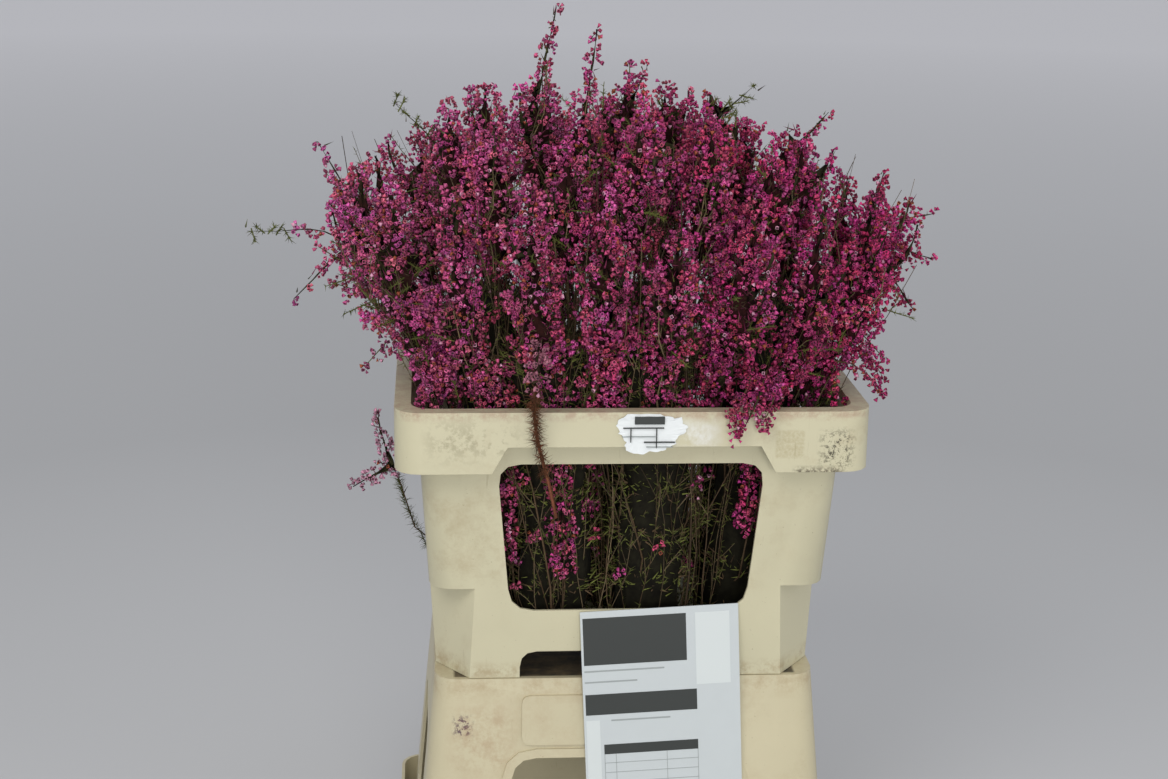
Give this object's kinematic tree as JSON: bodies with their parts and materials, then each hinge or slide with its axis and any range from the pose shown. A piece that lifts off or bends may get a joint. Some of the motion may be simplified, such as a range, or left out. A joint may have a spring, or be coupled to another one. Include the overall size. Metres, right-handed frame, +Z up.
{
  "type": "potted heath",
  "caption": "Cut pink heath in full bloom, standing in a cream plastic flower crate with open windows, on an upturned second crate with a plain card in front.",
  "frame": {"origin": "on the floor, under the middle of the crates", "axes": "+Z up; the front with the card faces -Y; +X is the right-hand side seen from the front"},
  "size_m": [0.631, 0.411, 0.8234],
  "materials": {
    "crate_plastic": "satin, scuffed",
    "base_plastic": "satin, stained",
    "card": "coated board, smooth",
    "bloom": "soft, matt",
    "stem": "matt",
    "withered": "dry, matt"
  },
  "bodies": {
    "root": {"crate": "crate_plastic", "base_crate": "base_plastic", "label_card": "card", "bloom_01": "bloom", "bloom_02": "bloom", "bloom_03": "bloom", "bloom_04": "bloom", "bloom_05": "bloom", "bloom_06": "bloom", "bloom_07": "bloom", "bloom_08": "bloom", "bloom_09": "bloom", "bloom_10": "bloom", "bloom_11": "bloom", "bloom_12": "bloom", "bloom_13": "bloom", "bloom_14": "bloom", "bloom_15": "bloom", "bloom_16": "bloom", "bloom_17": "bloom", "bloom_18": "bloom", "bloom_19": "bloom", "bloom_20": "bloom", "bloom_21": "bloom", "bloom_22": "bloom", "bloom_23": "bloom", "bloom_24": "bloom", "bloom_25": "bloom", "bloom_26": "bloom", "bloom_27": "bloom", "bloom_28": "bloom", "bloom_29": "bloom", "bloom_30": "bloom", "bloom_31": "bloom", "bloom_32": "bloom", "bloom_33": "bloom", "bloom_34": "bloom", "bloom_35": "bloom", "bloom_36": "bloom", "bloom_37": "bloom", "bloom_38": "bloom", "bloom_39": "bloom", "bloom_40": "bloom", "bloom_41": "bloom", "bloom_42": "bloom", "bloom_43": "bloom", "bloom_44": "bloom", "stems_01": "stem", "stems_02": "stem", "stems_03": "stem", "stems_04": "stem", "stems_05": "stem", "stems_06": "stem", "stems_07": "stem", "stems_08": "stem", "stems_09": "stem", "stems_10": "stem", "bloom_side": "bloom", "withered_sprig": "withered", "withered_bloom": "bloom"}
  },
  "joints": []
}
